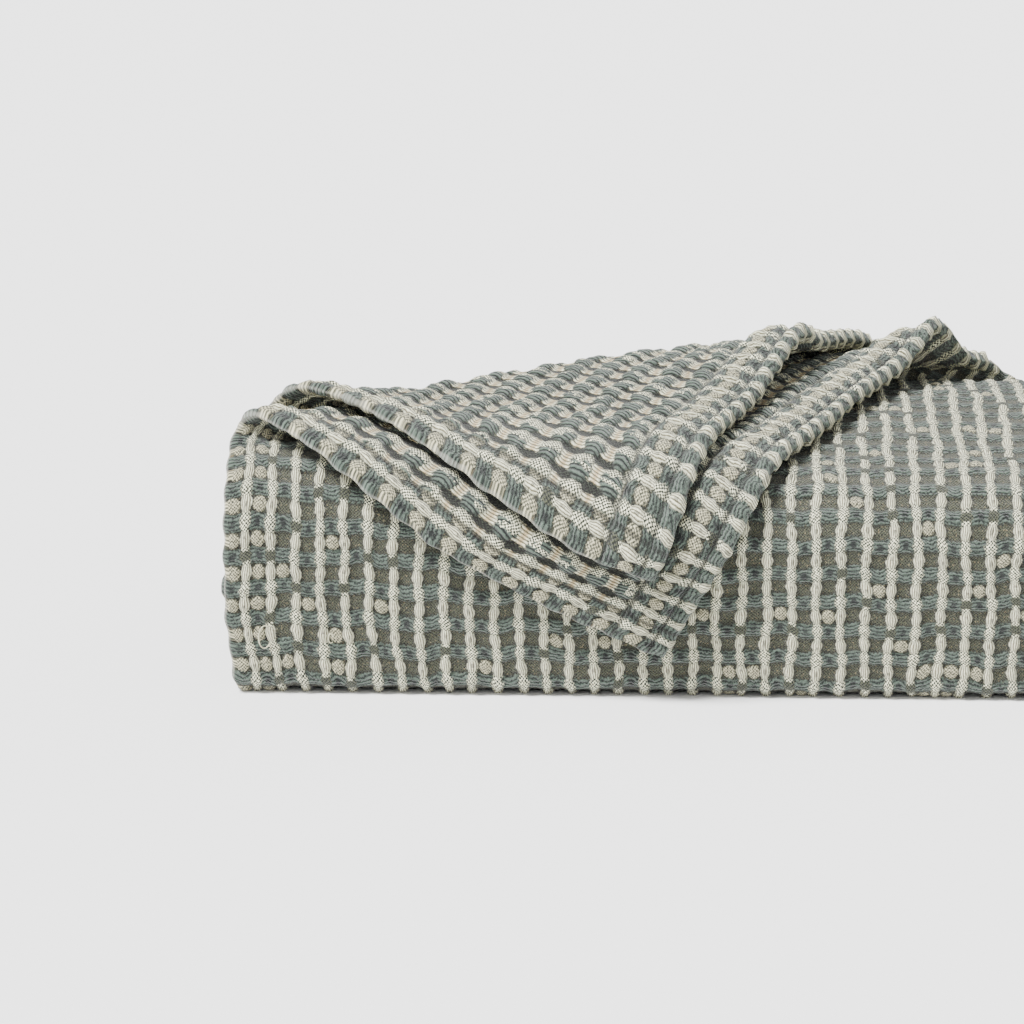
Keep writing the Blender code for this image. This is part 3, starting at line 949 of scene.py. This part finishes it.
def cotton(name, is_back):
    material = bpy.data.materials.new(name)
    material.use_nodes = True
    tree = material.node_tree
    shader = tree.nodes["Principled BSDF"]
    uv = tree.nodes.new("ShaderNodeUVMap")
    uv.uv_map = "weave"
    weave = Wire(tree, uv.outputs[0])
    chance = attribute(tree, "chance", "Fac")
    crossed = attribute(tree, "crossed", "Fac")
    popped = attribute(tree, "popped", "Fac")
    side, end, hem = split(tree, attribute(tree, "hems", "Vector"))
    if is_back:
        popped = popped.max(hem)
    rope = end.ramp(ROPE_ROWS, ROPE_ROWS - 0.08)
    bow = attribute(tree, "bar_chance", "Fac")
    values = {"Weave": weave, "Popped": popped, "Crossed": crossed}
    values |= {"Chance": chance, "Bar": rope, "Bow": bow}
    colour, height = use_group(tree, face_group, values)
    if is_back:
        back, back_height = use_group(tree, back_group, {"Weave": weave, "Chance": chance})
        colour = hem.colours(back, colour)
        height = height * hem + back_height * hem.less_from(1.0)
    edge = (side + (chance - 0.5) * 0.10).ramp(0.10, 0.02) * 0.22
    colour = edge.colours(colour, EDGE_TONE)
    if is_back:
        # painted shade: a dark line along the stitched grooves of the hems and beside the rope
        stitched = (side - HEM_CELLS).abs().ramp(0.14, 0.04)
        stitched = stitched.max((end - HEM_ROWS).abs().ramp(0.10, 0.03))
        stitched = stitched.max((end - ROPE_ROWS).abs().ramp(0.10, 0.02))
        colour = (stitched * 0.7).colours(colour, OLIVE_SHADE)
    tree.links.new(colour.socket, shader.inputs["Base Color"])
    bump = tree.nodes.new("ShaderNodeBump")
    set_inputs(bump, {"Strength": 1.0, "Distance": BUMP_M})
    tree.links.new(height.socket, bump.inputs["Height"])
    tree.links.new(bump.outputs[0], shader.inputs["Normal"])
    rough = height * -0.08 + 0.97
    tree.links.new(rough.socket, shader.inputs["Roughness"])
    set_inputs(shader, {"Sheen Weight": 0.20, "Sheen Roughness": 0.6, "Specular IOR Level": 0.15})
    return material


cotton("cotton_face", False)
cotton("cotton_back", True)
print("two sides of one cotton")

# %% [markdown]
# ## The pieces
# The cloth is cut into pieces only where no one can see it, or in the valley of a row. The cells that
# show are fine, and the ones between two plies are plain. All of the front wall shows.

# %% The grids and the front wall
FINE = 10
COARSE = 5


def cells(first, last, each):
    """Places across the cloth from one cell edge to another."""
    return LEFT_X + CELL_W * np.linspace(first, last, round((last - first) * each) + 1)


def runs(start, rows, length, each):
    return np.linspace(start, start + length, rows * each + 1)


def partly_seen(name, across, along, place, shows, each, **more):
    """A piece with relief only in the cells that shows(x, run) says are seen."""
    middle_x = (across[:-1:each] + across[each::each]) / 2
    middle_run = (along[:-1:each] + along[each::each]) / 2
    seen = shows(*np.meshgrid(middle_x, middle_run, indexing="ij"))
    print("cells that show:", int(seen.sum()), "of", seen.size)
    cloth_piece(name, across, along, place, seen=seen, block=each, **more)


wall_rows = round(WALL_L / CELL_L)
across, along = cells(0, CELLS, FINE), runs(0, wall_rows, WALL_L, FINE)
cloth_piece("front_wall", across, along, on_line)

# %% [markdown]
# ## The outer top ply
# It runs from the rounded edge back over the stack. Its left part rolls round the inner crease and
# comes down over the front as the lower flap. What lies deep under the flap or in the fold is plain.

# %% The outer top ply and its flap
EDGE_CELLS = 3  # cells at each side of a ply that can be seen
UNDER_FLAP = 0.022  # the cloth shows this far in under the flap
IN_FOLD = 0.045  # and this far into the fold
BEFORE_CREASE = 0.010  # and this far in front of the outer crease


def side_shows(x):
    return (x < LEFT_X + EDGE_CELLS * CELL_W) | (x > RIGHT_X - EDGE_CELLS * CELL_W)


def outer_shows(x, run):
    crease_along, beyond = crease_place(LOWER, x, -run)
    over_x, over_q = from_crease(LOWER, crease_along, math.pi * LOOP_R - beyond)
    covered = (over_x > LEFT_X + UNDER_FLAP) & (over_q < TOP_L - IN_FOLD) & (beyond < 0)
    inside = (beyond > 0) & (x > LEFT_X + IN_FOLD) & (-run < TOP_L - IN_FOLD)
    return ~(covered | inside) | (x > RIGHT_X - EDGE_CELLS * CELL_W)


each = min(FINE, 9)
across, along = cells(0, CELLS, each), runs(-TOP_L, round(TOP_L / CELL_L), TOP_L, each)
partly_seen("outer_ply", across, along, on_lower, outer_shows, each, end_run=-TOP_L)

# %% [markdown]
# ## The inner top ply
# It lies just under the outer one and rolls round the outer crease, so its flap is the upper one, and
# shows the back of the weave. Below it the face is on the other side, a change hidden in the stack.

# %% The inner top ply and its flap
def inner_shows(x, run):
    _, beyond = crease_place(UPPER, x + OUTER_SLIDE, run - LINE_L)
    return (beyond > -BEFORE_CREASE) | side_shows(x)


across, along = cells(0, CELLS, FINE), runs(LINE_L, round(OUTER_L / CELL_L), OUTER_L, FINE)
ends = {"end_run": LINE_L + OUTER_L, "turned": True}
partly_seen("inner_ply", across, along, on_upper, inner_shows, FINE, **ends)

# %% [markdown]
# ## The third ply
# Behind the crease the two top plies are gone and the third one lies open, up to the back of the stack.
# Its rounded back fold belongs to it.

# %% The third ply, which shows behind the crease
THIRD_BEFORE_CREASE = 0.020
BACK_STRIP_Q = 0.185  # behind this the ply shows all across


def third_shows(x, run):
    plan_q = np.interp(run, LINE_RUN, LINE[:, 0]) - FRONT_Y - SHOULDER_R + HALF_ARC
    _, beyond = crease_place(LOWER, x, plan_q)
    return (beyond > -THIRD_BEFORE_CREASE) | side_shows(x) | (plan_q > BACK_STRIP_Q)


each = 8
third_l = LINE_L - THIRD_FROM
across, along = cells(0, CELLS, each), runs(THIRD_FROM, round(third_l / CELL_L), third_l, each)
partly_seen("third_ply", across, along, on_line, third_shows, each)

# %% [markdown]
# ## The lower plies
# Of these only the side edges and the rounded back folds show. So the sides are two narrow pieces with
# relief all along, and the middle is one wide piece, with fine steps at the back folds only.

# %% The lower plies: their two side edges, and their middles with the rounded back folds
lower_l = THIRD_FROM - WALL_L
lower_rows = round(lower_l / CELL_L)
edge_runs = runs(WALL_L, lower_rows, lower_l, COARSE)
for name, first in (("lower_plies_left", 0), ("lower_plies_right", CELLS - EDGE_CELLS)):
    across = cells(first, first + EDGE_CELLS, COARSE)
    cloth_piece(name, across, edge_runs, on_line)
FOLD_ROOM = 0.016  # to each side of the middle of a fold
PLAIN_STEP = 0.030
FOLD_STEP = 0.0013
steps = [WALL_L]
for end, backwards in FOLD_ENDS[:-1]:
    fold = end - math.pi * FOLD_R / 2
    fold_step = FOLD_STEP if backwards else 3 * FOLD_STEP
    steps += [*np.arange(steps[-1] + PLAIN_STEP, fold - FOLD_ROOM - fold_step, PLAIN_STEP)]
    fold_start = max(fold - FOLD_ROOM, steps[-1] + fold_step)
    steps += [*np.arange(fold_start, fold + FOLD_ROOM, fold_step)]
steps += [*np.arange(steps[-1] + PLAIN_STEP, THIRD_FROM - FOLD_STEP, PLAIN_STEP), THIRD_FROM]
across = cells(EDGE_CELLS, CELLS - EDGE_CELLS, min(COARSE, 4))
cloth_piece("lower_plies_middle", across, np.array(steps), on_line)
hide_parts(BLANKET)

# %% [markdown]
# ## Loose threads
# A few yarns have been pulled out into small loops. Each is a short curve with a round section, made a
# mesh, and the three are one piece. The threads go with the front wall they are on.

# %% The loose threads
THREAD_R = 0.00022
IN_CLOTH = 0.0012  # how far in front of the wall's middle a loop starts
THREADS = (
    # across and up the front wall from its left foot, half width and half height of the loop, turn
    (0.014, 0.034, 0.0022, 0.0045, 0.5),
    (0.038, 0.034, 0.0008, 0.0022, -0.2),
    (0.072, 0.088, 0.0016, 0.0040, 0.7),
)
LOOP_POINTS = 9
STAND_OFF = 0.0045


def thread_loop(right, up, half_w, half_h, turn):
    """A curve that leaves the cloth, bows out and comes back to it."""
    curve = bpy.data.curves.new("loose_thread", "CURVE")
    curve.dimensions = "3D"
    curve.bevel_depth = THREAD_R
    curve.bevel_resolution = 2
    spline = curve.splines.new("NURBS")
    spline.points.add(LOOP_POINTS - 1)
    foot = on_line(LEFT_X + right, np.float64(WALL_L - up))
    for i, point in enumerate(spline.points):
        angle = 1.7 * math.pi * i / (LOOP_POINTS - 1) + turn
        out = STAND_OFF * math.sin(math.pi * i / (LOOP_POINTS - 1))
        x, z = half_w * math.cos(angle), half_h * math.sin(angle)
        point.co = (foot[0] + x, foot[1] - IN_CLOTH - out, foot[2] + z, 1)
    spline.use_endpoint_u = True
    spline.order_u = 4
    loop = bpy.data.objects.new("loose_thread", curve)
    bpy.context.scene.collection.objects.link(loop)
    return loop


bpy.ops.object.select_all(action="DESELECT")
loops = [thread_loop(*row) for row in THREADS]
for loop in loops:
    loop.select_set(True)
bpy.context.view_layer.objects.active = loops[0]
bpy.ops.object.convert(target="MESH")
bpy.ops.object.join()
threads = bpy.context.object
threads.name = "loose_threads"
yarn = bpy.data.materials.new("cream_yarn")
yarn.use_nodes = True
shader = yarn.node_tree.nodes["Principled BSDF"]
place = yarn.node_tree.nodes.new("ShaderNodeTexCoord")
streak = noise(yarn.node_tree, Wire(yarn.node_tree, place.outputs["Object"]), 900.0)
yarn.node_tree.links.new(streak.colours(CREAM_SHADE, CREAM).socket, shader.inputs["Base Color"])
shader.inputs["Roughness"].default_value = 0.9
threads.data.materials.clear()
threads.data.materials.append(yarn)
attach(threads, "root")
print("loose threads:", len(THREADS), "loops,", len(threads.data.polygons), "faces")

# %% [markdown]
# ## The floor
# A plain pale floor, big enough to reach the horizon. It is no part of the blanket.

# %% The floor
FLOOR_HALF = 40.0
bpy.ops.object.select_all(action="DESELECT")
bpy.ops.mesh.primitive_plane_add(size=2 * FLOOR_HALF, location=(0, 0, 0))
floor = bpy.context.object
floor.name = "floor"
paint = bpy.data.materials.new("pale_floor")
paint.use_nodes = True
shader = paint.node_tree.nodes["Principled BSDF"]
set_inputs(shader, {"Base Color": (0.95, 0.95, 0.95, 1), "Roughness": 0.9})
floor.data.materials.append(paint)
print("floor:", 2 * FLOOR_HALF, "m square")

# %% [markdown]
# ## The light
# A cloth with relief needs one main light from the side and above, to shade every rib. Two very soft
# lamps and a pale room fill the shadows. Sun lamps light the whole floor evenly, as area lamps do not.

# %% The light
LIGHTS = (
    # name, direction it comes from, softness in degrees, strength
    ("key", (-1.0, -0.75, 2.0), 22, 10.0),
    ("front", (-0.3, -2.0, 0.6), 70, 1.1),
    ("back", (0.6, 1.6, 1.6), 60, 0.8),
)
OVERHEAD, HORIZON = 0.45, 1.7  # the room's own light, paler towards the horizon
HORIZON_TO = (0.12, 0.45)  # sines of the heights between which it fades


def point_along(thing, direction):
    """Turn a lamp or a camera, which look down their own -Z, along a direction."""
    thing.rotation_mode = "QUATERNION"
    thing.rotation_quaternion = Vector(direction).to_track_quat("-Z", "Y")


for name, place, softness, strength in LIGHTS:
    bpy.ops.object.light_add(type="SUN", location=place)
    lamp = bpy.context.object
    lamp.name = name
    lamp.data.angle = math.radians(softness)
    lamp.data.energy = strength
    point_along(lamp, -lamp.location)
world = bpy.data.worlds.new("studio")
world.use_nodes = True
nodes, links = world.node_tree.nodes, world.node_tree.links
set_inputs(nodes["Background"], {"Color": (1, 1, 1, 1)})
direction = nodes.new("ShaderNodeTexCoord")
height = split(world.node_tree, Wire(world.node_tree, direction.outputs["Generated"]))[2]
paleness = height.ramp(HORIZON_TO[1], HORIZON_TO[0]) * (HORIZON - OVERHEAD) + OVERHEAD
links.new(paleness.socket, nodes["Background"].inputs["Strength"])
bpy.context.scene.world = world
print("lamps:", [name for name, *_ in LIGHTS])

# %% [markdown]
# ## The camera
# It stands about 1.5 m in front, looks a little down, and is turned so that the stack runs out of
# view on the right. A long lens keeps the front wall's edges nearly parallel.

# %% The camera
CAMERA_AT = np.array((-0.025, -1.632, 0.334)) + SHIFT
CAMERA_AIM = np.array((-0.096, -0.125, 0.068)) + SHIFT
bpy.ops.object.camera_add(location=CAMERA_AT)
camera = bpy.context.object
camera.name = "camera"
camera.data.lens = 150
camera.data.sensor_width = 36
point_along(camera, CAMERA_AIM - CAMERA_AT)
bpy.context.scene.camera = camera
print("camera:", CAMERA_AT.round(3))
